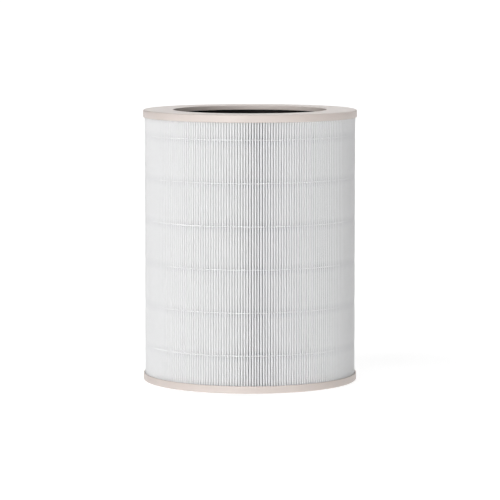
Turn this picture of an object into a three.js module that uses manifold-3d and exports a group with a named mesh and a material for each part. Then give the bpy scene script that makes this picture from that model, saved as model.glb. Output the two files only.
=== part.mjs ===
// Cylindrical filter cartridge of a room air purifier: a pleated particle filter round an activated-carbon
// sleeve and a moulded core, potted between two ring-shaped end caps. Air enters all round the pleats and
// leaves through the open bore.
// Millimetres, +Z up along the axis. The origin is the centre of the bottom face, on the standing plane.
import * as THREE from "three";
import { mergeVertices } from "three/addons/utils/BufferGeometryUtils.js";
import Module from "manifold-3d";

// ---- Driving dimensions ----
const HEIGHT = 273;
const CAP_RADIUS = 107.5;
const BORE_RADIUS = 77;
const GAP = 0.3; // left between neighbouring solids

// End caps: a flat ring with an outer skirt round the pleats and a shorter lip into the bore.
const SKIRT_HEIGHT = 7.5;
const SKIRT_WALL = 1.2;
const LIP_HEIGHT = 4.5;
const LIP_WALL = 1.3;
const WEB = 2.4;
const SKIRT_ROUND = 1.1;
const LIP_ROUND = 0.7;

// Gasket groove in the underside of the bottom cap.
const GROOVE_INNER = 86;
const GROOVE_OUTER = 94;
const GROOVE_DEPTH = 1.4;

// Adhesive that fills each cap's channel, and the height that everything between the caps stands in.
const POTTING = 1.9;
const INSIDE_BOTTOM = WEB + GAP + POTTING + GAP;
const INSIDE_TOP = HEIGHT - INSIDE_BOTTOM;

// Pleated media: one sheet folded into PLEATS pleats and closed into a ring by a bonded seam.
const PLEATS = 244;
const MEDIA_RADIUS = 105.8;
const PLEAT_DEPTH = 17.8;
const SHEET = 0.3;
const SEAM_INNER = 98.6;
const SEAM_OUTER = 105.5;
const SEAM_WIDTH = 0.5;
const SEAM_VALLEY = 61; // counted in pleats from +X, which puts the seam at the back, on +Y

// Hot-melt beads that space the pleats, at the same heights outside and inside.
const BEADS = 6;
const LOWEST_BEAD = 36.8;
const BEAD_SPACING = 42.3;
const BEAD_THICKNESS = 0.5;
const BEAD_HEIGHT = 1;

// Layers inside the pleats, from the core outwards.
const CORE_RADIUS = 78.7;
const CORE_WALL = 2;
const CORE_RIBS = 18;
const CORE_ROWS = 6;
const CORE_RIB_WIDTH = 2.6;
const CORE_RING_HEIGHT = 2.4;
const CORE_END_HEIGHT = 7;
const NET_WALL = 0.5;
const CARBON_WALL = 4;
const SCRIM_WALL = 0.4;
const SLEEVE_SLIT = 0.8; // width of the butt seam in a wrapped layer

// Facets round the axis: fine for the end caps, fewer for the sleeves and beads. The core has a corner at
// each rib and at the middle of each window.
const FACETS = 72;
const SLEEVE_FACETS = 48;
const BEAD_FACETS = 36;
const CORE_FACETS = 2 * CORE_RIBS;

// ---- Materials ----
const plastic = (color, roughness) => new THREE.MeshStandardMaterial({ color, roughness, metalness: 0 });
const capPlastic = plastic(0xded5d1, 0.45);
const mediaPaper = plastic(0xf3f4f5, 0.95);
const hotMelt = plastic(0xf8f8f6, 0.4);
const pottingGlue = plastic(0xe9e2d2, 0.5);
const corePlastic = plastic(0x131313, 0.55);
const carbonCloth = plastic(0x0d0d0d, 0.98);
const blackNet = plastic(0x161616, 0.6);
const scrimCloth = plastic(0xe6e6e4, 0.98);
const gasketFoam = plastic(0x3a3938, 0.95);

// ---- Solids: geometry in, manifold out, and back ----
const wasm = await Module();
wasm.setup();

function solid(geometry) {
  const bare = geometry.index ? geometry.toNonIndexed() : geometry.clone();
  bare.deleteAttribute("normal");
  bare.deleteAttribute("uv");
  const merged = mergeVertices(bare, 1e-3);
  return new wasm.Manifold(new wasm.Mesh({
    numProp: 3,
    vertProperties: merged.attributes.position.array,
    triVerts: new Uint32Array(merged.index.array),
  }));
}

function geometryOf(manifold) {
  const mesh = manifold.getMesh();
  const geometry = new THREE.BufferGeometry();
  geometry.setAttribute("position", new THREE.BufferAttribute(mesh.vertProperties, 3));
  geometry.setIndex(new THREE.BufferAttribute(mesh.triVerts, 1));
  geometry.computeVertexNormals();
  return geometry;
}

// ---- Shapes of revolution ----

// Turns a closed section, given as [radius, height] corners taken anticlockwise, about the Z axis.
function revolve(corners, facets) {
  const section = [...corners, corners[0]].map(([r, z]) => new THREE.Vector2(r, z));
  return new THREE.LatheGeometry(section, facets).rotateX(Math.PI / 2);
}

const ring = (inner, outer, bottom, top, facets = FACETS) =>
  revolve([[inner, bottom], [outer, bottom], [outer, top], [inner, top]], facets);

// Corners of a rounded edge: an arc about (r, z), from one angle to another in degrees.
const ROUND_STEPS = 2;
function roundCorner(r, z, radius, from, to) {
  return Array.from({ length: ROUND_STEPS + 1 }, (_, i) => {
    const a = THREE.MathUtils.degToRad(from + ((to - from) * i) / ROUND_STEPS);
    return [r + radius * Math.cos(a), z + radius * Math.sin(a)];
  });
}

// The bottom cap's section, standing on z = 0. Its channel opens upwards.
function capSection(groove) {
  const underside = groove
    ? [[GROOVE_INNER, 0], [GROOVE_INNER, GROOVE_DEPTH], [GROOVE_OUTER, GROOVE_DEPTH], [GROOVE_OUTER, 0]]
    : [];
  return [
    ...roundCorner(BORE_RADIUS + LIP_ROUND, LIP_ROUND, LIP_ROUND, 180, 270),
    ...underside,
    ...roundCorner(CAP_RADIUS - SKIRT_ROUND, SKIRT_ROUND, SKIRT_ROUND, 270, 360),
    [CAP_RADIUS, SKIRT_HEIGHT],
    [CAP_RADIUS - SKIRT_WALL, SKIRT_HEIGHT],
    [CAP_RADIUS - SKIRT_WALL, WEB],
    [BORE_RADIUS + LIP_WALL, WEB],
    [BORE_RADIUS + LIP_WALL, LIP_HEIGHT],
    [BORE_RADIUS, LIP_HEIGHT],
  ];
}

const upsideDown = (corners) => corners.map(([r, z]) => [r, HEIGHT - z]).reverse();

// ---- Pleated media ----

// One folded sheet as a zigzag ring. The folds are sharp, so the sheet's thickness across a flank becomes
// a longer step along the radius at each fold.
function pleatedMedia() {
  const inner = MEDIA_RADIUS - PLEAT_DEPTH;
  const step = Math.PI / PLEATS;
  const flankShift = (MEDIA_RADIUS + inner) / 2 * step;
  const foldStep = SHEET * Math.hypot(PLEAT_DEPTH, flankShift) / flankShift;
  const corner = (r, i) => new THREE.Vector2(r * Math.cos(i * step), r * Math.sin(i * step));
  const outside = [];
  const inside = [];
  for (let i = 0; i < 2 * PLEATS; i++) {
    const isTip = i % 2 === 0;
    outside.push(corner(isTip ? MEDIA_RADIUS : inner + foldStep, i));
    inside.push(corner(isTip ? MEDIA_RADIUS - foldStep : inner, i));
  }
  const shape = new THREE.Shape(outside);
  shape.holes.push(new THREE.Path(inside));
  const depth = INSIDE_TOP - INSIDE_BOTTOM;
  return new THREE.ExtrudeGeometry(shape, { depth, bevelEnabled: false }).translate(0, 0, INSIDE_BOTTOM);
}

// Adhesive blade in one valley at the back, where the sheet's two ends are bonded together.
function seamBond() {
  const angle = ((2 * SEAM_VALLEY + 1) * Math.PI) / PLEATS;
  const radius = (SEAM_INNER + SEAM_OUTER) / 2;
  const height = INSIDE_TOP - INSIDE_BOTTOM;
  return new THREE.BoxGeometry(SEAM_OUTER - SEAM_INNER, SEAM_WIDTH, height)
    .translate(radius, 0, INSIDE_BOTTOM + height / 2)
    .rotateZ(angle);
}

// Beads are thin rings. Their corners lie on the given radius at the inner side.
const beadRing = (inner, middle) =>
  ring(inner, inner + BEAD_THICKNESS, middle - BEAD_HEIGHT / 2, middle + BEAD_HEIGHT / 2, BEAD_FACETS);

// ---- Layers inside the pleats ----

// A layer wrapped from flat sheet: a tube with a narrow butt seam at the back, on +Y.
function wrappedSleeve(inner, outer) {
  const half = SLEEVE_SLIT / 2 / inner;
  const start = Math.PI / 2 + half;
  const end = Math.PI / 2 - half + 2 * Math.PI;
  const shape = new THREE.Shape().absarc(0, 0, outer, start, end, false).absarc(0, 0, inner, end, start, true);
  const depth = INSIDE_TOP - INSIDE_BOTTOM;
  return new THREE.ExtrudeGeometry(shape, { depth, bevelEnabled: false, curveSegments: SLEEVE_FACETS })
    .translate(0, 0, INSIDE_BOTTOM);
}

// Moulded core: a tube with rows of rectangular windows between its ribs and rings.
const CUT_THROUGH = 4; // a window's cutter is this many walls thick, so that it passes right through
function coreCage() {
  const pitch = (2 * Math.PI) / CORE_RIBS;
  const height = INSIDE_TOP - INSIDE_BOTTOM;
  const rowPitch = (height - 2 * CORE_END_HEIGHT + CORE_RING_HEIGHT) / CORE_ROWS;
  const windowHeight = rowPitch - CORE_RING_HEIGHT;
  const windowWidth = pitch * (CORE_RADIUS + CORE_WALL / 2) - CORE_RIB_WIDTH;
  let cage = solid(ring(CORE_RADIUS, CORE_RADIUS + CORE_WALL, INSIDE_BOTTOM, INSIDE_TOP, CORE_FACETS));
  for (let row = 0; row < CORE_ROWS; row++) {
    const middle = INSIDE_BOTTOM + CORE_END_HEIGHT + windowHeight / 2 + row * rowPitch;
    for (let rib = 0; rib < CORE_RIBS; rib++) {
      const cutter = new THREE.BoxGeometry(CUT_THROUGH * CORE_WALL, windowWidth, windowHeight)
        .translate(CORE_RADIUS + CORE_WALL / 2, 0, middle)
        .rotateZ((rib + 0.5) * pitch);
      cage = cage.subtract(solid(cutter));
    }
  }
  return geometryOf(cage);
}

// ---- Assembly ----
const cartridge = new THREE.Group();

function add(name, geometry, material) {
  const mesh = new THREE.Mesh(geometry, material);
  mesh.name = name;
  cartridge.add(mesh);
}

add("bottom_end_cap", revolve(capSection(true), FACETS), capPlastic);
add("top_end_cap", revolve(upsideDown(capSection(false)), FACETS), capPlastic);

const gasket = ring(GROOVE_INNER + GAP, GROOVE_OUTER - GAP, GAP, GROOVE_DEPTH - GAP);
add("bottom_gasket", gasket, gasketFoam);

const pottingInner = BORE_RADIUS + LIP_WALL + GAP;
const pottingOuter = CAP_RADIUS - SKIRT_WALL - GAP;
const pottingBottom = WEB + GAP;
const pottingTop = pottingBottom + POTTING;
add("bottom_potting", ring(pottingInner, pottingOuter, pottingBottom, pottingTop), pottingGlue);
add("top_potting", ring(pottingInner, pottingOuter, HEIGHT - pottingTop, HEIGHT - pottingBottom), pottingGlue);

add("pleated_media", pleatedMedia(), mediaPaper);
add("media_seam_bond", seamBond(), hotMelt);

// The flats of an outer bead clear the pleats' tips, and the corners of an inner bead clear their folds.
const outerBeadInner = (MEDIA_RADIUS + GAP) / Math.cos(Math.PI / BEAD_FACETS);
const innerBeadInner = MEDIA_RADIUS - PLEAT_DEPTH - GAP - BEAD_THICKNESS;
for (let i = 0; i < BEADS; i++) {
  const middle = LOWEST_BEAD + i * BEAD_SPACING;
  add(`outer_bead_${i + 1}`, beadRing(outerBeadInner, middle), hotMelt);
  add(`inner_bead_${i + 1}`, beadRing(innerBeadInner, middle), hotMelt);
}

add("core_cage", coreCage(), corePlastic);
const netInner = CORE_RADIUS + CORE_WALL + GAP;
const carbonInner = netInner + NET_WALL + GAP;
const scrimInner = carbonInner + CARBON_WALL + GAP;
add("core_net", wrappedSleeve(netInner, netInner + NET_WALL), blackNet);
add("carbon_sleeve", wrappedSleeve(carbonInner, carbonInner + CARBON_WALL), carbonCloth);
add("carbon_scrim", wrappedSleeve(scrimInner, scrimInner + SCRIM_WALL), scrimCloth);

export default cartridge;
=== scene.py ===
import math

import bmesh
import bpy
import numpy as np
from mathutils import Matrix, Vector

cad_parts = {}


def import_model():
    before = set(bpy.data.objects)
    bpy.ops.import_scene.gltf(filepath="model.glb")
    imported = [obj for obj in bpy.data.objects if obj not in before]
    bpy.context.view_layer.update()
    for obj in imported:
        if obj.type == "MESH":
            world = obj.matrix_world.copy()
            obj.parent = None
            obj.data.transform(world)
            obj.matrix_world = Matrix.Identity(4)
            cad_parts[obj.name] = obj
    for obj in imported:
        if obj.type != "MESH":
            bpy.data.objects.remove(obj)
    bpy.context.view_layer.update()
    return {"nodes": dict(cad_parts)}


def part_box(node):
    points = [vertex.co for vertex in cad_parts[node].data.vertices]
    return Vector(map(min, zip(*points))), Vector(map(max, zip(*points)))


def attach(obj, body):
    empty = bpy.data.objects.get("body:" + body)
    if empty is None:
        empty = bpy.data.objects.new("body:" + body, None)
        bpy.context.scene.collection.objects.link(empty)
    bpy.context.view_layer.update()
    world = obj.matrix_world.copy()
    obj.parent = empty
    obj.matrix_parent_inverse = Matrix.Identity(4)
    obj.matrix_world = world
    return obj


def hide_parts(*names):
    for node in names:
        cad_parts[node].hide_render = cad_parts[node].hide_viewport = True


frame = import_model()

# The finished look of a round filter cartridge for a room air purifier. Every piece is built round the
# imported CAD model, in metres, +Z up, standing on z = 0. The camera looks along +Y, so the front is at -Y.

MM = 0.001
BODY = "root"
TURN = 2 * math.pi
GLUED_GAP = 0.3 * MM  # how far apart the CAD model keeps layers that are glued together


# ---- Measures taken from the frame ----

def corners(node):
    """A CAD node's corners as [distance from the axis, height]."""
    points = np.array([v.co for v in frame["nodes"][node].data.vertices], float)
    return np.column_stack([np.hypot(points[:, 0], points[:, 1]), points[:, 2]])


def radii(node):
    """A CAD node's smallest and largest distance from the axis."""
    distance = corners(node)[:, 0]
    return float(distance.min()), float(distance.max())


def heights(node):
    """A CAD node's lowest and highest point."""
    low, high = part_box(node)
    return low.z, high.z


BORE_RADIUS, CAP_RADIUS = radii("top_end_cap")
HEIGHT = heights("top_end_cap")[1]
SKIRT_HEIGHT = heights("bottom_end_cap")[1]
MEDIA_INNER, MEDIA_RADIUS = radii("pleated_media")
MEDIA_BOTTOM, MEDIA_TOP = heights("pleated_media")
BEAD_NODES = sorted(n for n in frame["nodes"] if n.startswith("outer_bead_"))
BEAD_HEIGHTS = [sum(heights(n)) / 2 for n in BEAD_NODES]


# ---- Meshes ----

def piece(name, points, faces, material, replaces, sharp=40):
    """A mesh piece of the cartridge, made from its points and faces."""
    mesh = bpy.data.meshes.new(name)
    mesh.from_pydata([tuple(p) for p in points], [], [tuple(int(i) for i in f) for f in faces])
    mesh.validate()
    return finished(name, mesh, material, replaces, sharp)


def finished(name, mesh, material, replaces, sharp=40):
    """The mesh as a piece that rides on the cartridge and stands for CAD nodes. Edges that bend by more than
    sharp degrees stay crisp."""
    mesh.shade_smooth()
    mesh.set_sharp_from_angle(angle=math.radians(sharp))
    mesh.materials.append(material)
    made = bpy.data.objects.new(name, mesh)
    bpy.context.scene.collection.objects.link(made)
    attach(made, BODY)
    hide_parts(*replaces)
    return made


def loop_faces(columns, rows, closed_rows):
    """Quads of a grid whose columns close round the axis. Point k of column c is number c * rows + k."""
    spans = rows if closed_rows else rows - 1
    c, k = np.meshgrid(np.arange(columns), np.arange(spans), indexing="ij")
    c, k = c.ravel(), k.ravel()
    c_next, k_next = (c + 1) % columns, (k + 1) % rows
    return np.column_stack([c * rows + k, c_next * rows + k, c_next * rows + k_next, c * rows + k_next])


def turned(section, columns):
    """A closed section of [radius, height], anticlockwise, turned about the axis."""
    section = np.array(section, float)
    angle = TURN * np.arange(columns)[:, None] / columns
    r, z = section[None, :, 0], section[None, :, 1]
    points = np.stack([r * np.cos(angle), r * np.sin(angle), z + 0 * angle], axis=2)
    return points.reshape(-1, 3), loop_faces(columns, len(section), True)


def arc(r, z, radius, start, end, steps):
    """Points on an arc about (r, z), from start to end in degrees."""
    angles = np.radians(np.linspace(start, end, steps + 1))
    return [[r + radius * math.cos(a), z + radius * math.sin(a)] for a in angles]


def mirrored(section):
    """The section turned upside down, for the top end."""
    return [[r, HEIGHT - z] for r, z in reversed(section)]


# ---- Materials ----

class Nodes:
    """Short names for the nodes that the materials share. Sizes are in metres on the object."""

    def __init__(self, name):
        self.material = bpy.data.materials.new(name)
        self.material.use_nodes = True
        self.tree = self.material.node_tree
        self.shader = self.tree.nodes["Principled BSDF"]
        self.place = self.add("ShaderNodeTexCoord").outputs["Object"]

    def add(self, kind, **settings):
        node = self.tree.nodes.new(kind)
        for key, value in settings.items():
            setattr(node, key, value)
        return node

    def link(self, output, socket):
        self.tree.links.new(output, socket)

    def set(self, **values):
        """Sets the main shader's own inputs, named with _ for each space."""
        for key, value in values.items():
            self.shader.inputs[key.replace("_", " ")].default_value = value

    def stretched(self, scale):
        """The object's coordinates, scaled apart along X, Y and Z."""
        mapping = self.add("ShaderNodeMapping")
        mapping.inputs["Scale"].default_value = scale
        self.link(self.place, mapping.inputs["Vector"])
        return mapping.outputs["Vector"]

    def noise(self, size, detail=3, roughness=0.55, place=None):
        node = self.add("ShaderNodeTexNoise")
        node.inputs["Scale"].default_value = 1 / size
        node.inputs["Detail"].default_value = detail
        node.inputs["Roughness"].default_value = roughness
        self.link(place or self.place, node.inputs["Vector"])
        return node.outputs["Fac"]

    def cells(self, size, feature="F1"):
        node = self.add("ShaderNodeTexVoronoi", feature=feature)
        node.inputs["Scale"].default_value = 1 / size
        self.link(self.place, node.inputs["Vector"])
        return node.outputs["Distance"]

    def between(self, value, low, high, into_low=0.0, into_high=1.0):
        """Maps the range from low to high onto the range from into_low to into_high."""
        node = self.add("ShaderNodeMapRange")
        node.inputs["From Min"].default_value = low
        node.inputs["From Max"].default_value = high
        node.inputs["To Min"].default_value = into_low
        node.inputs["To Max"].default_value = into_high
        self.link(value, node.inputs["Value"])
        return node.outputs["Result"]

    def sum(self, first, second, second_share=1.0):
        """The first value plus a share of the second."""
        node = self.add("ShaderNodeMath", operation="MULTIPLY_ADD")
        self.link(second, node.inputs[0])
        node.inputs[1].default_value = second_share
        self.link(first, node.inputs[2])
        return node.outputs["Value"]

    def maths(self, operation, value, number):
        node = self.add("ShaderNodeMath", operation=operation)
        self.link(value, node.inputs[0])
        node.inputs[1].default_value = number
        return node.outputs["Value"]

    def height_above(self, level):
        """How far a point on the object is above a level."""
        split = self.add("ShaderNodeSeparateXYZ")
        self.link(self.place, split.inputs["Vector"])
        return self.maths("SUBTRACT", split.outputs["Z"], level)

    def tinted(self, colour, share, tint):
        """Multiplies a colour by the tint, as far as share goes from 0 to 1."""
        node = self.add("ShaderNodeMix", data_type="RGBA", blend_type="MULTIPLY")
        self.link(share, node.inputs["Factor"])
        self.link(colour, node.inputs["A"])
        node.inputs["B"].default_value = (*tint, 1)
        return node.outputs["Result"]

    def colours(self, value, low, high):
        """Runs from one colour to the other as value goes from 0 to 1."""
        node = self.add("ShaderNodeMix", data_type="RGBA")
        self.link(value, node.inputs["Factor"])
        node.inputs["A"].default_value = (*low, 1)
        node.inputs["B"].default_value = (*high, 1)
        return node.outputs["Result"]

    def colour(self, output):
        self.link(output, self.shader.inputs["Base Color"])

    def roughness(self, output):
        self.link(output, self.shader.inputs["Roughness"])

    def bump(self, height, depth, strength=1.0):
        """Raises the surface by depth metres as height goes from 0 to 1."""
        node = self.add("ShaderNodeBump")
        node.inputs["Strength"].default_value = strength
        node.inputs["Distance"].default_value = depth
        self.link(height, node.inputs["Height"])
        self.link(node.outputs["Normal"], self.shader.inputs["Normal"])

    def let_through(self, share, tint):
        """Sends a share of the light through the sheet to its other side."""
        through = self.add("ShaderNodeBsdfTranslucent")
        self.link(tint, through.inputs["Color"])
        mix = self.add("ShaderNodeMixShader")
        mix.inputs["Fac"].default_value = share
        self.link(self.shader.outputs["BSDF"], mix.inputs[1])
        self.link(through.outputs["BSDF"], mix.inputs[2])
        self.link(mix.outputs["Shader"], self.tree.nodes["Material Output"].inputs["Surface"])


def cap_plastic():
    """Blush-beige moulded plastic with a fine satin grain and slow, faint flow marks."""
    m = Nodes("cap_plastic")
    flow = m.noise(40 * MM, detail=2)
    grain = m.noise(0.35 * MM, detail=2)
    m.colour(m.colours(m.between(flow, 0.3, 0.7), (0.594, 0.527, 0.491), (0.622, 0.555, 0.519)))
    m.roughness(m.between(m.noise(6 * MM), 0.3, 0.7, 0.40, 0.48))
    m.bump(grain, 0.012 * MM)
    m.set(Specular_IOR_Level=0.5)
    return m.material


BEAD_SPACING = (BEAD_HEIGHTS[-1] - BEAD_HEIGHTS[0]) / (len(BEAD_HEIGHTS) - 1)
BEAD_SHADE_REACH = 6 * MM


def painted_bead_shade(m):
    """1 at each glue bead, fading to 0 a few millimetres above and below it: where painted shade darkens the
    sheet beside the beads.
    """
    to_bead = m.maths("PINGPONG", m.height_above(BEAD_HEIGHTS[0]), BEAD_SPACING / 2)
    return m.between(to_bead, 0, BEAD_SHADE_REACH, 1, 0)


def filter_media():
    """White nonwoven of pressed fibres: cloudy on the scale of millimetres, fibrous below that, and darkened
    beside the glue beads by painted shade."""
    m = Nodes("filter_media")
    cloud = m.noise(5 * MM, detail=3)
    fibres = m.noise(0.25 * MM, detail=4, roughness=0.7, place=m.stretched((1, 1, 0.35)))
    pressed = m.cells(0.9 * MM)
    tone = m.sum(m.between(cloud, 0.35, 0.65), m.between(fibres, 0.35, 0.65), 0.6)
    white = m.colours(m.between(tone, 0.0, 1.6), (0.902, 0.903, 0.907), (0.924, 0.925, 0.929))
    # Painted shade: the sheet's colour is darkened a few millimetres above and below each glue bead.
    white = m.tinted(white, painted_bead_shade(m), (0.955, 0.955, 0.96))
    m.colour(white)
    m.let_through(0.3, white)
    m.bump(m.sum(fibres, pressed, 0.4), 0.05 * MM)
    m.set(Roughness=0.92, Sheen_Weight=0.15, Sheen_Roughness=0.5, Specular_IOR_Level=0.25)
    return m.material


def hot_melt():
    """White hot-melt glue, smoother and glossier than the media it grips."""
    m = Nodes("hot_melt")
    m.colour(m.colours(m.noise(3 * MM), (0.85, 0.852, 0.85), (0.90, 0.902, 0.90)))
    m.roughness(m.between(m.noise(1.2 * MM), 0.3, 0.7, 0.4, 0.6))
    m.bump(m.noise(0.8 * MM), 0.04 * MM)
    return m.material


def potting_adhesive():
    """Poured cream adhesive with small levelled ripples and a few pinholes."""
    m = Nodes("potting_adhesive")
    m.colour(m.colours(m.noise(8 * MM), (0.74, 0.69, 0.58), (0.80, 0.76, 0.66)))
    pinholes = m.between(m.cells(4 * MM), 0.05, 0.12)
    m.bump(m.sum(m.noise(2.5 * MM), pinholes, 0.5), 0.12 * MM)
    m.roughness(m.between(m.noise(3 * MM), 0.3, 0.7, 0.32, 0.55))
    return m.material


def core_plastic():
    """Black moulded plastic with a faintly textured, slightly shiny skin."""
    m = Nodes("core_plastic")
    m.colour(m.colours(m.noise(10 * MM), (0.004, 0.004, 0.004), (0.007, 0.007, 0.007)))
    m.roughness(m.between(m.noise(2 * MM), 0.3, 0.7, 0.42, 0.6))
    m.bump(m.noise(0.4 * MM, detail=2), 0.02 * MM)
    m.set(Specular_IOR_Level=0.12)
    return m.material


def black_net():
    """Extruded black netting, slightly waxy."""
    m = Nodes("black_net")
    m.colour(m.colours(m.noise(4 * MM), (0.004, 0.004, 0.004), (0.009, 0.009, 0.009)))
    m.roughness(m.between(m.noise(1.5 * MM), 0.3, 0.7, 0.45, 0.7))
    m.bump(m.noise(0.5 * MM), 0.02 * MM)
    m.set(Specular_IOR_Level=0.12)
    return m.material


def carbon_cloth():
    """Black cloth packed with granules of activated carbon about a millimetre across."""
    m = Nodes("carbon_cloth")
    granules = m.cells(1.3 * MM)
    facets = m.cells(0.6 * MM, feature="SMOOTH_F1")
    m.colour(m.colours(m.between(granules, 0.1, 0.6), (0.016, 0.016, 0.016), (0.002, 0.002, 0.002)))
    m.roughness(m.between(facets, 0.1, 0.6, 0.55, 0.95))
    lumps = m.sum(m.between(granules, 0.0, 0.7, 1.0, 0.0), facets, -0.25)
    m.bump(lumps, 0.45 * MM)
    m.set(Specular_IOR_Level=0.12)
    return m.material


def scrim_cloth():
    """Thin white support cloth: crossed long fibres over a soft ground."""
    m = Nodes("scrim_cloth")
    upright = m.noise(0.5 * MM, detail=4, roughness=0.7, place=m.stretched((1, 1, 0.12)))
    across = m.noise(0.5 * MM, detail=4, roughness=0.7, place=m.stretched((0.2, 0.2, 1)))
    fibres = m.sum(m.between(upright, 0.35, 0.65), m.between(across, 0.35, 0.65))
    m.colour(m.colours(m.between(fibres, 0.2, 1.8), (0.66, 0.66, 0.65), (0.82, 0.82, 0.81)))
    m.bump(fibres, 0.04 * MM)
    m.set(Roughness=0.95)
    return m.material


def gasket_foam():
    """Dark closed-cell foam with an open skin of small pores."""
    m = Nodes("gasket_foam")
    pores = m.cells(0.7 * MM)
    m.colour(m.colours(m.between(pores, 0.05, 0.5), (0.018, 0.018, 0.018), (0.060, 0.059, 0.058)))
    m.bump(m.between(pores, 0.0, 0.5), 0.12 * MM)
    m.set(Roughness=0.9)
    return m.material


CAP_PLASTIC = cap_plastic()
FILTER_MEDIA = filter_media()
HOT_MELT = hot_melt()
POTTING_ADHESIVE = potting_adhesive()
CORE_PLASTIC = core_plastic()
BLACK_NET = black_net()
CARBON_CLOTH = carbon_cloth()
SCRIM_CLOTH = scrim_cloth()
GASKET_FOAM = gasket_foam()


# ---- End caps ----

CAP_COLUMNS = 480
SKIRT_WALL = 1.2 * MM
SKIRT_ROUND = 1.3 * MM
LIP_WALL = 1.3 * MM
LIP_ROUND = 0.8 * MM
LIP_HEIGHT = float(max(z for r, z in corners("bottom_end_cap") if r < BORE_RADIUS + LIP_WALL / 2))
WEB = heights("bottom_potting")[0] - GLUED_GAP
RIM_ROUND = 0.35 * MM
CHANNEL_ROUND = 0.5 * MM
SKIRT_STEPS = 8
LIP_STEPS = 6
EDGE_STEPS = 4


def cap_section(groove):
    """One side of a cap's cut face, standing on z = 0 with its channel open upwards."""
    skirt_inner = CAP_RADIUS - SKIRT_WALL
    lip_outer = BORE_RADIUS + LIP_WALL
    section = arc(BORE_RADIUS + LIP_ROUND, LIP_ROUND, LIP_ROUND, 180, 270, LIP_STEPS)
    if groove:
        section += gasket_groove()
    section += arc(CAP_RADIUS - SKIRT_ROUND, SKIRT_ROUND, SKIRT_ROUND, 270, 360, SKIRT_STEPS)
    skirt_rim = SKIRT_HEIGHT - RIM_ROUND
    section += arc(CAP_RADIUS - RIM_ROUND, skirt_rim, RIM_ROUND, 0, 90, EDGE_STEPS)
    section += arc(skirt_inner + RIM_ROUND, skirt_rim, RIM_ROUND, 90, 180, EDGE_STEPS)
    channel = WEB + CHANNEL_ROUND
    section += arc(skirt_inner - CHANNEL_ROUND, channel, CHANNEL_ROUND, 0, -90, EDGE_STEPS)
    section += arc(lip_outer + CHANNEL_ROUND, channel, CHANNEL_ROUND, 270, 180, EDGE_STEPS)
    lip_rim = LIP_HEIGHT - RIM_ROUND
    section += arc(lip_outer - RIM_ROUND, lip_rim, RIM_ROUND, 0, 90, EDGE_STEPS)
    section += arc(BORE_RADIUS + RIM_ROUND, lip_rim, RIM_ROUND, 90, 180, EDGE_STEPS)
    return section


GASKET_INNER, GASKET_OUTER = radii("bottom_gasket")
GASKET_COLUMNS = 256
GASKET_SOFT_SHARE = 0.45  # of its height, rounded off at each edge
GROOVE_ROUND = 0.25 * MM
GROOVE_STEPS = 3


def gasket_groove():
    """The groove's corners in the underside, from the inner edge to the outer."""
    inner = GASKET_INNER - GLUED_GAP
    outer = GASKET_OUTER + GLUED_GAP
    depth = heights("bottom_gasket")[1] + GLUED_GAP
    return [
        *arc(inner - GROOVE_ROUND, GROOVE_ROUND, GROOVE_ROUND, 270, 360, GROOVE_STEPS),
        [inner, depth],
        [outer, depth],
        *arc(outer + GROOVE_ROUND, GROOVE_ROUND, GROOVE_ROUND, 180, 270, GROOVE_STEPS),
    ]


def end_caps():
    """The two caps. The upper one is the lower one turned over, without its gasket groove."""
    points, faces = turned(cap_section(groove=True), CAP_COLUMNS)
    piece("lower_cap", points, faces, CAP_PLASTIC, ["bottom_end_cap"], sharp=50)
    points, faces = turned(mirrored(cap_section(groove=False)), CAP_COLUMNS)
    piece("upper_cap", points, faces, CAP_PLASTIC, ["top_end_cap"], sharp=50)


def gasket():
    """A flat foam ring with softly rounded edges."""
    low, high = heights("bottom_gasket")
    soft = (high - low) * GASKET_SOFT_SHARE
    section = [
        *arc(GASKET_INNER + soft, low + soft, soft, 180, 270, EDGE_STEPS),
        *arc(GASKET_OUTER - soft, low + soft, soft, 270, 360, EDGE_STEPS),
        *arc(GASKET_OUTER - soft, high - soft, soft, 0, 90, EDGE_STEPS),
        *arc(GASKET_INNER + soft, high - soft, soft, 90, 180, EDGE_STEPS),
    ]
    points, faces = turned(section, GASKET_COLUMNS)
    piece("foam_gasket", points, faces, GASKET_FOAM, ["bottom_gasket"])


# ---- Slow irregularity, the same on every run ----

RANDOM = np.random.default_rng(7)
FIRST_WAVE = 0.6


def wander(count, positions, waves=3):
    """For each of count things, a smooth curve over positions from 0 to 1, mostly within -1 to 1."""
    total = np.zeros((count, len(positions)))
    for wave in range(1, waves + 1):
        size = RANDOM.normal(0, FIRST_WAVE / wave, (count, 1))
        phase = RANDOM.uniform(0, TURN, (count, 1))
        total += size * np.sin(math.pi * wave * positions[None, :] + phase)
    return total


def ring_wander(columns, waves, size):
    """A curve that closes round the axis, made of the numbers of waves given, each of about this size."""
    angle = TURN * np.arange(columns) / columns
    total = np.zeros(columns)
    for wave in waves:
        total += RANDOM.normal(0, size) * np.sin(wave * angle + RANDOM.uniform(0, TURN))
    return total


# ---- Pleated media ----

PLEATS = 244
TIP_ROUND = 0.99 * MM
FOLD_ROUND = 0.25 * MM
TIP_ANGLES = (-80, -42, 0, 42, 80)  # degrees round a tip where the sheet has points
FOLD_ANGLES = (-65, 0, 65)
FLANK_SHARE = 0.4  # how far in, from a tip to a fold, the flank's own point lies
LEAN = 0.5 * MM  # sideways, the same on every flank
SWAY = 0.01 * MM  # a tip's slow wander sideways
TIP_UNEVEN = 0.018 * MM  # a tip's slow wander in and out
BOW = 0.015 * MM  # how far the flanks swell
HOLD_REACH = 18 * MM  # how far from a bead or a cap the sheet is fully free
HELD_SHARE = 0.35  # of the wander that is left where it is held
BEAD_ROWS = (-1.35, -0.55, 0, 0.55, 1.35)  # rows near a bead, as shares of PRESS_REACH
PRESS_REACH = 4.5 * MM
PRESS_DEPTH = 0.2 * MM
PRESS_PINCH = 0.12  # of its width, lost by a tip under a bead
RIM_FLARE = 0.4 * MM
RIM_REACH = 3 * MM


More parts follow.
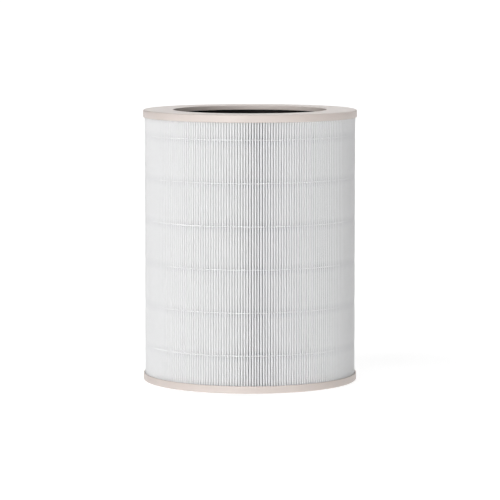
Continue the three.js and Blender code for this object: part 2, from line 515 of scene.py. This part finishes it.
def media_rows():
    """Heights of the sheet's rows: its ends, the skirts' rims, five at each bead and one between beads."""
    ends = (MEDIA_BOTTOM, MEDIA_TOP)
    lower_rim = (SKIRT_HEIGHT, SKIRT_HEIGHT + RIM_REACH)
    upper_rim = (HEIGHT - SKIRT_HEIGHT - RIM_REACH, HEIGHT - SKIRT_HEIGHT)
    beads = np.array(BEAD_HEIGHTS)
    between = (beads[:-1] + beads[1:]) / 2
    near_beads = [beads + share * PRESS_REACH for share in BEAD_ROWS]
    return np.sort(np.concatenate([ends, lower_rim, upper_rim, between, *near_beads]))


def to_nearest(rows, held):
    """Each row's distance to the nearest height where something holds the sheet."""
    return np.abs(rows[:, None] - np.array(held)[None, :]).min(axis=1)


def freedom(rows):
    """How free the sheet is to wander at each height: least where a bead or a cap holds it."""
    distance = to_nearest(rows, [MEDIA_BOTTOM, *BEAD_HEIGHTS, MEDIA_TOP])
    return HELD_SHARE + (1 - HELD_SHARE) * np.clip(distance / HOLD_REACH, 0, 1)


def press(rows):
    """How far the folds are pressed in at each height, from 1 at a bead to 0 away from it."""
    distance = to_nearest(rows, BEAD_HEIGHTS)
    return np.exp(-(distance / PRESS_REACH) ** 2)


def flare(rows):
    """How far the tips spread against the caps' skirts at each height, from 1 in a skirt to 0 out of it."""
    from_middle = np.abs(rows - HEIGHT / 2)
    free_half = HEIGHT / 2 - SKIRT_HEIGHT - RIM_REACH
    return np.clip((from_middle - free_half) / RIM_REACH, 0, 1)


def pleated_media():
    """One sheet in rounded folds: a tip, a flank, an inner fold and a flank, once for each pleat."""
    rows = media_rows()
    along = (rows - MEDIA_BOTTOM) / (MEDIA_TOP - MEDIA_BOTTOM)
    free = freedom(rows)
    pressed = press(rows)
    pitch = TURN / PLEATS
    sway = SWAY * free * wander(PLEATS, along)
    reach = TIP_UNEVEN * (free * wander(PLEATS, along) - 1)
    reach = reach - PRESS_DEPTH * pressed + RIM_FLARE * flare(rows)
    bow = BOW * free * (1 + wander(PLEATS, along))
    tip_round = TIP_ROUND * (1 - PRESS_PINCH * pressed)
    tip_centre = MEDIA_RADIUS - TIP_ROUND
    fold_centre = MEDIA_INNER + FOLD_ROUND
    fold_aside = pitch / 2 * MEDIA_INNER - FOLD_ROUND
    tip_angle = pitch * np.arange(PLEATS)[:, None]
    columns = []

    def column(radius, aside, base_angle):
        """One line of points up the sheet in every pleat, aside of a base angle."""
        columns.append((radius, base_angle + aside / radius))

    def flank(side, base_angle, sway, bow):
        """The line on the flank to one side of a tip, part of the way in to the fold."""
        radius = tip_centre + FLANK_SHARE * (fold_centre - tip_centre)
        straight = tip_round + FLANK_SHARE * (fold_aside - tip_round)
        column(radius, side * (straight + bow) + LEAN + sway * (1 - FLANK_SHARE), base_angle)

    for degrees in TIP_ANGLES:
        a = math.radians(degrees)
        column(tip_centre + TIP_ROUND * math.cos(a) + reach, tip_round * math.sin(a) + sway, tip_angle)
    flank(1, tip_angle, sway, bow)
    for degrees in FOLD_ANGLES:
        a = math.radians(degrees)
        next_fold = tip_angle + pitch / 2
        column(fold_centre - FOLD_ROUND * math.cos(a), FOLD_ROUND * math.sin(a), next_fold)
    flank(-1, tip_angle + pitch, np.roll(sway, -1, axis=0), np.roll(bow, -1, axis=0))

    radius = np.stack([np.broadcast_to(r, sway.shape) for r, _ in columns], axis=1)
    angle = np.stack([np.broadcast_to(a, sway.shape) for _, a in columns], axis=1)
    z = np.broadcast_to(rows, radius.shape)
    ring = np.stack([radius * np.cos(angle), radius * np.sin(angle), z], axis=3)
    ring = ring.reshape(PLEATS * len(columns), len(rows), 3)
    points = ring.reshape(-1, 3)
    faces = loop_faces(PLEATS * len(columns), len(rows), False)
    sheet = piece("pleats", points, faces, FILTER_MEDIA, ["pleated_media"], sharp=75)

    around = np.linalg.norm(np.roll(ring, -1, axis=0) - ring, axis=2).sum(axis=0)


SEAM_ROWS = 60
SEAM_HALF = 0.3 * MM
SEAM_HALF_UNEVEN = 0.25  # of its half width
SEAM_INSET = 0.25 * MM
SEAM_EDGE_UNEVEN = 0.2 * MM
SEAM_BLUNT = 0.4 * MM


def seam_bond():
    """The glue line in one valley at the back, where the sheet's two ends meet: an uneven blade."""
    low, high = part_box("media_seam_bond")
    rows = np.linspace(low.z, high.z, SEAM_ROWS)
    along = np.linspace(0, 1, SEAM_ROWS)
    inner, outer = radii("media_seam_bond")
    middle = math.atan2((low.y + high.y) / 2, (low.x + high.x) / 2)
    half = SEAM_HALF * (1 + SEAM_HALF_UNEVEN * wander(1, along, waves=9)[0])
    edge = outer - SEAM_INSET + SEAM_EDGE_UNEVEN * wander(1, along, waves=7)[0]
    edge = np.minimum(edge, outer)
    blunt = edge - SEAM_BLUNT
    sides = [(inner, -1), (blunt, -1), (edge, 0), (blunt, 1), (inner, 1)]
    points = []
    for radius, side in sides:
        radius = radius + 0 * rows
        angle = middle + side * half / radius
        points.append(np.stack([radius * np.cos(angle), radius * np.sin(angle), rows], axis=1))
    points = np.stack(points, axis=1).reshape(-1, 3)
    count = len(sides)
    faces = []
    for row in range(len(rows) - 1):
        for side in range(count):
            start, after = row * count + side, row * count + (side + 1) % count
            faces.append((start, after, after + count, start + count))
    faces.append(tuple(reversed(range(count))))
    faces.append(tuple(range((len(rows) - 1) * count, len(rows) * count)))
    piece("seam_glue", points, faces, HOT_MELT, ["media_seam_bond"])


# ---- Glue beads ----

BEAD_COLUMNS_PER_PLEAT = 6
BEAD_HALF_HEIGHT = 0.5 * MM
BEAD_PROUD = 0.04 * MM
BEAD_SAG = 0.9 * MM
BEAD_SAG_LEAST = 0.75
BEAD_SAG_MOST = 1.25
BEAD_DEPTH = 6 * MM
BEAD_SHOULDER = 0.3 * MM
BEAD_DRIFT = 0.04 * MM  # up and down, in each of the waves below
BEAD_DRIFT_WAVES = (1, 2, 3, 5, 9, 17)
BEAD_SWELL = 0.06  # of its half height, in each of the waves below
BEAD_SWELL_WAVES = (4, 7, 13, 31, 61, 97)
ROOT_RISE, SHOULDER_RISE, NOSE_RISE = 0.7, 0.85, 0.3  # of its half height


def glue_bead(name, node, tip_radius, outwards):
    """A thread of glue laid over the folds. It sags into each valley and runs some way down the flanks."""
    columns = PLEATS * BEAD_COLUMNS_PER_PLEAT
    angle = TURN * np.arange(columns) / columns
    middle = sum(heights(node)) / 2 + ring_wander(columns, BEAD_DRIFT_WAVES, BEAD_DRIFT)
    thickness = BEAD_HALF_HEIGHT * (1 + ring_wander(columns, BEAD_SWELL_WAVES, BEAD_SWELL))
    phase = 0 if outwards else math.pi
    valley = 0.5 - 0.5 * np.cos(PLEATS * angle + phase)
    sag = RANDOM.uniform(BEAD_SAG_LEAST, BEAD_SAG_MOST, PLEATS)
    uneven = np.repeat(sag, BEAD_COLUMNS_PER_PLEAT)
    side = 1 if outwards else -1
    nose = tip_radius + side * (BEAD_PROUD - BEAD_SAG * valley * uneven)
    root = tip_radius - side * BEAD_DEPTH
    shoulder = nose - side * BEAD_SHOULDER
    section = [
        (root, -ROOT_RISE),
        (shoulder, -SHOULDER_RISE),
        (nose, -NOSE_RISE),
        (nose, NOSE_RISE),
        (shoulder, SHOULDER_RISE),
        (root, ROOT_RISE),
    ]
    rings = []
    for radius, rise in section:
        height = middle + rise * thickness
        rings.append(np.stack([radius * np.cos(angle), radius * np.sin(angle), height], axis=1))
    points = np.stack(rings, axis=1).reshape(-1, 3)
    faces = loop_faces(columns, len(section), True)
    if not outwards:
        faces = faces[:, ::-1]
    piece(name, points, faces, HOT_MELT, [node], sharp=80)


def glue_beads():
    """One bead outside and one inside the pleats at each of the beads' heights."""
    tips = MEDIA_RADIUS - TIP_UNEVEN - PRESS_DEPTH
    for number in range(1, len(BEAD_NODES) + 1):
        glue_bead(f"outer_glue_{number}", f"outer_bead_{number}", tips, True)
        glue_bead(f"inner_glue_{number}", f"inner_bead_{number}", MEDIA_INNER, False)


# ---- Potting ----

POTTING_COLUMNS = 360
POTTING_POINTS = 25
POTTING_BELOW = 0.45 * MM  # how far its level lies under the CAD solid's
POTTING_CLIMB = 0.35 * MM
POTTING_CLIMB_RATE = 22
POTTING_UNEVEN = 0.12 * MM
POTTING_WAVES = (2, 3, 5, 8, 13)
POTTING_WAVE_SIZE = 0.5


def potting(name, node, upside_down):
    """Poured glue in a cap's channel. It climbs a little at the walls and is never quite level."""
    inner, outer = radii(node)
    low, high = heights(node)
    if upside_down:
        low, high = HEIGHT - high, HEIGHT - low
    across = np.linspace(0, 1, POTTING_POINTS)
    radius = inner + (outer - inner) * across
    near_walls = np.exp(-across * POTTING_CLIMB_RATE) + np.exp(-(1 - across) * POTTING_CLIMB_RATE)
    ripples = [ring_wander(POTTING_COLUMNS, POTTING_WAVES, POTTING_WAVE_SIZE) for _ in across]
    uneven = POTTING_UNEVEN * np.stack(ripples, axis=1)
    surface = np.minimum(high - POTTING_BELOW + POTTING_CLIMB * near_walls + uneven, high)
    angle = (TURN * np.arange(POTTING_COLUMNS) / POTTING_COLUMNS)[:, None]
    top = np.stack([radius * np.cos(angle), radius * np.sin(angle), surface], axis=2)[:, ::-1]
    bottom = np.full(surface.shape, low)
    base = np.stack([radius * np.cos(angle), radius * np.sin(angle), bottom], axis=2)[:, [0, -1]]
    points = np.concatenate([base, top], axis=1)
    faces = loop_faces(POTTING_COLUMNS, points.shape[1], True)
    points = points.reshape(-1, 3)
    if upside_down:
        points[:, 2] = HEIGHT - points[:, 2]
        faces = faces[:, ::-1]
    piece(name, points, faces, POTTING_ADHESIVE, [node])


# ---- Core, net and sleeves ----

CORE_RIBS = 18
CORE_ROWS = 6
CORE_RIB_WIDTH = 2.6 * MM
CORE_RING_HEIGHT = 2.4 * MM
CORE_END_HEIGHT = 7 * MM
CORE_EDGE_ROUND = 0.3 * MM
WINDOW_STEPS = 8
WINDOW_ROUND = 1.6 * MM
IN, OUT = 0, 1


def core_grid():
    """The cage's grid: each column's angle, each row's height, and whether a window may lie after each."""
    inner, outer = radii("core_cage")
    low, high = heights("core_cage")
    rib = CORE_RIB_WIDTH / ((inner + outer) / 2)
    pitch = TURN / CORE_RIBS
    angles, open_column = [], []
    for number in range(CORE_RIBS):
        start = number * pitch
        angles.append(start - rib / 2)
        open_column.append(False)
        for step in range(WINDOW_STEPS):
            angles.append(start + rib / 2 + (pitch - rib) * step / WINDOW_STEPS)
            open_column.append(True)
    row_pitch = (high - low - 2 * CORE_END_HEIGHT + CORE_RING_HEIGHT) / CORE_ROWS
    levels, open_row = [low], [False]
    for row in range(CORE_ROWS):
        bottom = low + CORE_END_HEIGHT + row * row_pitch
        levels += [bottom, bottom + row_pitch - CORE_RING_HEIGHT]
        open_row += [True, False]
    levels.append(high)
    return angles, open_column, levels, open_row


def core_cage():
    """Moulded tube with rows of windows. Its grid leaves out the cells that are windows."""
    wall = radii("core_cage")
    angles, open_column, levels, open_row = core_grid()
    mesh = bmesh.new()
    grid = {}

    def corner(c, k, side):
        """The grid's corner at column c and row k, made once, on the inner or outer face."""
        key = (c % len(angles), k, side)
        if key not in grid:
            a = angles[key[0]]
            grid[key] = mesh.verts.new((wall[side] * math.cos(a), wall[side] * math.sin(a), levels[k]))
        return grid[key]

    def face(*keys):
        mesh.faces.new([corner(*key) for key in keys])

    def solid_cell(c, k):
        """Whether the cell after column c and row k is in the cage and isn't a window."""
        c %= len(angles)
        return 0 <= k < len(levels) - 1 and not (open_column[c] and open_row[k])

    for c in range(len(angles)):
        for k in range(len(levels) - 1):
            if not solid_cell(c, k):
                continue
            after, above = c + 1, k + 1
            face((c, k, OUT), (after, k, OUT), (after, above, OUT), (c, above, OUT))
            face((c, k, IN), (c, above, IN), (after, above, IN), (after, k, IN))
            if not solid_cell(c, k - 1):
                face((c, k, IN), (after, k, IN), (after, k, OUT), (c, k, OUT))
            if not solid_cell(c, above):
                face((c, above, OUT), (after, above, OUT), (after, above, IN), (c, above, IN))
            if not solid_cell(c - 1, k):
                face((c, k, IN), (c, k, OUT), (c, above, OUT), (c, above, IN))
            if not solid_cell(after, k):
                face((after, k, IN), (after, above, IN), (after, above, OUT), (after, k, OUT))

    bmesh.ops.bevel(
        mesh,
        geom=[edge for edge in mesh.edges if is_window_corner(edge)],
        offset=WINDOW_ROUND,
        segments=EDGE_STEPS,
        profile=0.5,
        affect="EDGES",
    )
    data = bpy.data.meshes.new("core")
    mesh.to_mesh(data)
    mesh.free()
    core = finished("core", data, CORE_PLASTIC, ["core_cage"])
    soften = core.modifiers.new("edges", "BEVEL")
    soften.width = CORE_EDGE_ROUND
    soften.segments = 2
    soften.limit_method = "ANGLE"
    soften.angle_limit = math.radians(50)


LEVEL_WITHIN = 1e-6
LEAST_WALL = 0.1 * MM
LEAST_BEND = 1.0  # radians


def is_window_corner(edge):
    """True for an edge that runs through the wall where two sides of a window meet."""
    a, b = edge.verts[0].co, edge.verts[1].co
    level = abs(a.z - b.z) < LEVEL_WITHIN
    through = abs(a.xy.length - b.xy.length) > LEAST_WALL
    between_sides = len(edge.link_faces) == 2
    return level and through and between_sides and abs(edge.calc_face_angle_signed()) > LEAST_BEND


NET_STRANDS = 128
NET_STEPS = 44
STRAND_SIDES = 5
STRAND_SPREAD = 1.4  # a strand's width over its thickness
STRAND_INSET = 1.1  # how far in from the net's face a strand's middle lies, over its half thickness


def core_net():
    """Diamond netting: one layer of strands winds one way round the core, and one winds back over it."""
    inner, outer = radii("core_net")
    low, high = heights("core_net")
    strand = (outer - inner) / 4  # half a strand's thickness, as two lie over each other
    winding = (high - low) / ((inner + outer) / 2)
    up = np.linspace(low, high, NET_STEPS + 1)
    points, faces = [], []
    for side, middle in ((1, inner + strand * STRAND_INSET), (-1, outer - strand * STRAND_INSET)):
        for number in range(NET_STRANDS):
            start = len(points)
            angle = TURN * number / NET_STRANDS + side * winding * (up - low) / (high - low)
            for a, z in zip(angle, up):
                for k in range(STRAND_SIDES):
                    turn = TURN * k / STRAND_SIDES
                    r = middle + strand * math.cos(turn)
                    aside = strand * STRAND_SPREAD * math.sin(turn) / math.sqrt(2)
                    around = a + aside / r
                    rise = min(max(z - side * aside, low), high)
                    points.append((r * math.cos(around), r * math.sin(around), rise))
            for step in range(NET_STEPS):
                for k in range(STRAND_SIDES):
                    here = start + step * STRAND_SIDES + k
                    beside = start + step * STRAND_SIDES + (k + 1) % STRAND_SIDES
                    faces.append((here, beside, beside + STRAND_SIDES, here + STRAND_SIDES))
            last = start + NET_STEPS * STRAND_SIDES
            faces.append(tuple(reversed(range(start, start + STRAND_SIDES))))
            faces.append(tuple(range(last, last + STRAND_SIDES)))
    piece("netting", points, faces, BLACK_NET, ["core_net"])


SLEEVE_COLUMNS = 360
SLEEVE_ROWS = 40
SLEEVE_LUMP_COLUMNS = 6
SLEEVE_SEAM_HALF = 1.5 * MM
CARBON_UNEVEN = 0.25 * MM
CARBON_SEAM_DEPTH = 0.8 * MM
SCRIM_UNEVEN = 0.03 * MM
SCRIM_SEAM_DEPTH = 0.02 * MM


def sleeve(name, node, material, slot, uneven, seam_depth):
    """A wrapped layer: a tube, slightly uneven, with a shallow furrow at the back where its ends meet."""
    inner, outer = radii(node)
    low, high = heights(node)
    rows = np.linspace(low, high, SLEEVE_ROWS)
    along = (rows - low) / (high - low)
    angle = TURN * np.arange(SLEEVE_COLUMNS)[:, None] / SLEEVE_COLUMNS
    coarse = wander(SLEEVE_COLUMNS // SLEEVE_LUMP_COLUMNS, along)
    coarse = np.concatenate([coarse, coarse[:1]])
    spread = np.linspace(0, len(coarse) - 1, SLEEVE_COLUMNS + 1)[:-1]
    ripple = np.stack([np.interp(spread, np.arange(len(coarse)), level) for level in coarse.T], axis=1)
    seam = np.exp(-((angle - TURN / 4) * inner / SLEEVE_SEAM_HALF) ** 2)
    outside = np.minimum(outer - uneven + uneven * ripple / 2, outer) - seam_depth * seam
    inside = np.maximum(inner + uneven + uneven * ripple / 2, inner) + seam_depth * seam

    def wall(radius):
        """Points on one face of the layer, given its radius at each column and row."""
        height = np.broadcast_to(rows, radius.shape)
        return np.stack([radius * np.cos(angle), radius * np.sin(angle), height], axis=2)

    ring = np.concatenate([wall(outside), wall(inside)[:, ::-1]], axis=1)
    faces = loop_faces(SLEEVE_COLUMNS, ring.shape[1], True)
    piece(name, ring.reshape(-1, 3), faces, material, [node])


def wrapped_layers():
    """The carbon sleeve round the core, and the white scrim round the carbon."""
    carbon = (CARBON_CLOTH, "carbon_cloth", CARBON_UNEVEN, CARBON_SEAM_DEPTH)
    sleeve("carbon_layer", "carbon_sleeve", *carbon)
    scrim = (SCRIM_CLOTH, "scrim", SCRIM_UNEVEN, SCRIM_SEAM_DEPTH)
    sleeve("support_scrim", "carbon_scrim", *scrim)


# ---- Stage ----

FLOOR_REACH = 60
FLOOR_WHITE = 0.5
FLOOR_GLOW = 0.7
FLOOR_DROP = 0.02 * MM  # keeps the floor from sharing a plane with the lower cap


def floor():
    """A wide pale floor that gives off some light of its own, like a light table, and fills the view."""
    mesh = bpy.data.meshes.new("floor")
    around = [(-1, -1), (1, -1), (1, 1), (-1, 1)]
    points = [(x * FLOOR_REACH, y * FLOOR_REACH, -FLOOR_DROP) for x, y in around]
    mesh.from_pydata(points, [], [(0, 1, 2, 3)])
    material = bpy.data.materials.new("floor_white")
    material.use_nodes = True
    shader = material.node_tree.nodes["Principled BSDF"]
    shader.inputs["Base Color"].default_value = (FLOOR_WHITE, FLOOR_WHITE, FLOOR_WHITE, 1)
    shader.inputs["Roughness"].default_value = 1.0
    shader.inputs["Specular IOR Level"].default_value = 0.0
    shader.inputs["Emission Color"].default_value = (1, 1, 1, 1)
    shader.inputs["Emission Strength"].default_value = FLOOR_GLOW
    mesh.materials.append(material)
    ground = bpy.data.objects.new("floor", mesh)
    bpy.context.scene.collection.objects.link(ground)


# Wide soft lights far away, so they light the object and the floor alike. Each has the bearing it comes
# from, in degrees round from the camera and positive to the right, its height in degrees, half its width
# in degrees, and its brightness.
SOFT_LIGHTS = (
    (-22, 8, 18, 10.8),
    (-56, 48, 20, 4.6),
    (24, 18, 15, 4.8),
    (135, 35, 25, 2.4),
    (180, 20, 25, 1.6),
    (180, 70, 22, 2.7),
)
FULL_SHARE = 1 / 3  # of a light's half width, at its full brightness before it starts to fade


def soft_light(tree, direction, bearing, height, half_width, brightness):
    """The brightness that one soft light gives the surround in each direction."""
    bearing, height = math.radians(bearing), math.radians(height)
    towards = tree.nodes.new("ShaderNodeVectorMath")
    towards.operation = "DOT_PRODUCT"
    towards.inputs[1].default_value = (
        math.sin(bearing) * math.cos(height),
        -math.cos(bearing) * math.cos(height),
        math.sin(height),
    )
    tree.links.new(direction, towards.inputs[0])
    glow = tree.nodes.new("ShaderNodeMapRange")
    glow.interpolation_type = "SMOOTHSTEP"
    glow.inputs["From Min"].default_value = math.cos(math.radians(half_width))
    glow.inputs["From Max"].default_value = math.cos(math.radians(half_width * FULL_SHARE))
    glow.inputs["To Max"].default_value = brightness
    tree.links.new(towards.outputs["Value"], glow.inputs["Value"])
    return glow.outputs["Result"]


def world():
    """A dark surround with the soft lights in it."""
    surround = bpy.data.worlds.new("studio")
    surround.use_nodes = True
    tree = surround.node_tree
    background = tree.nodes["Background"]
    background.inputs["Color"].default_value = (1, 1, 1, 1)
    direction = tree.nodes.new("ShaderNodeTexCoord").outputs["Generated"]
    glows = [soft_light(tree, direction, *light) for light in SOFT_LIGHTS]
    total = glows[0]
    for glow in glows[1:]:
        joined = tree.nodes.new("ShaderNodeMath")
        tree.links.new(glow, joined.inputs[0])
        tree.links.new(total, joined.inputs[1])
        total = joined.outputs["Value"]
    tree.links.new(total, background.inputs["Strength"])
    bpy.context.scene.world = surround


CAMERA_DISTANCE = 2.998
CAMERA_HEIGHT_ANGLE = 5.62
AIM_BELOW_MIDDLE = 5.7 * MM
LENS = 213.8
SENSOR_WIDTH = 36
VIEW_REACH = 200


def camera():
    """A long lens in front of the cartridge and a little above it."""
    angle = math.radians(CAMERA_HEIGHT_ANGLE)
    data = bpy.data.cameras.new("camera")
    data.lens = LENS
    data.sensor_width = SENSOR_WIDTH
    data.clip_end = VIEW_REACH
    eye = bpy.data.objects.new("camera", data)
    bpy.context.scene.collection.objects.link(eye)
    across = CAMERA_DISTANCE * math.cos(angle)
    eye.location = (0, -across, HEIGHT / 2 + CAMERA_DISTANCE * math.sin(angle))
    aim = Vector((0, 0, HEIGHT / 2 - AIM_BELOW_MIDDLE))
    eye.rotation_euler = (aim - eye.location).to_track_quat("-Z", "Y").to_euler()
    bpy.context.scene.camera = eye


def main():
    """The stage, then every piece of the cartridge."""
    camera()
    floor()
    world()
    bpy.context.scene.view_settings.view_transform = "Standard"
    end_caps()
    gasket()
    pleated_media()
    seam_bond()
    glue_beads()
    potting("lower_potting", "bottom_potting", False)
    potting("upper_potting", "top_potting", True)
    core_cage()
    core_net()
    wrapped_layers()


main()
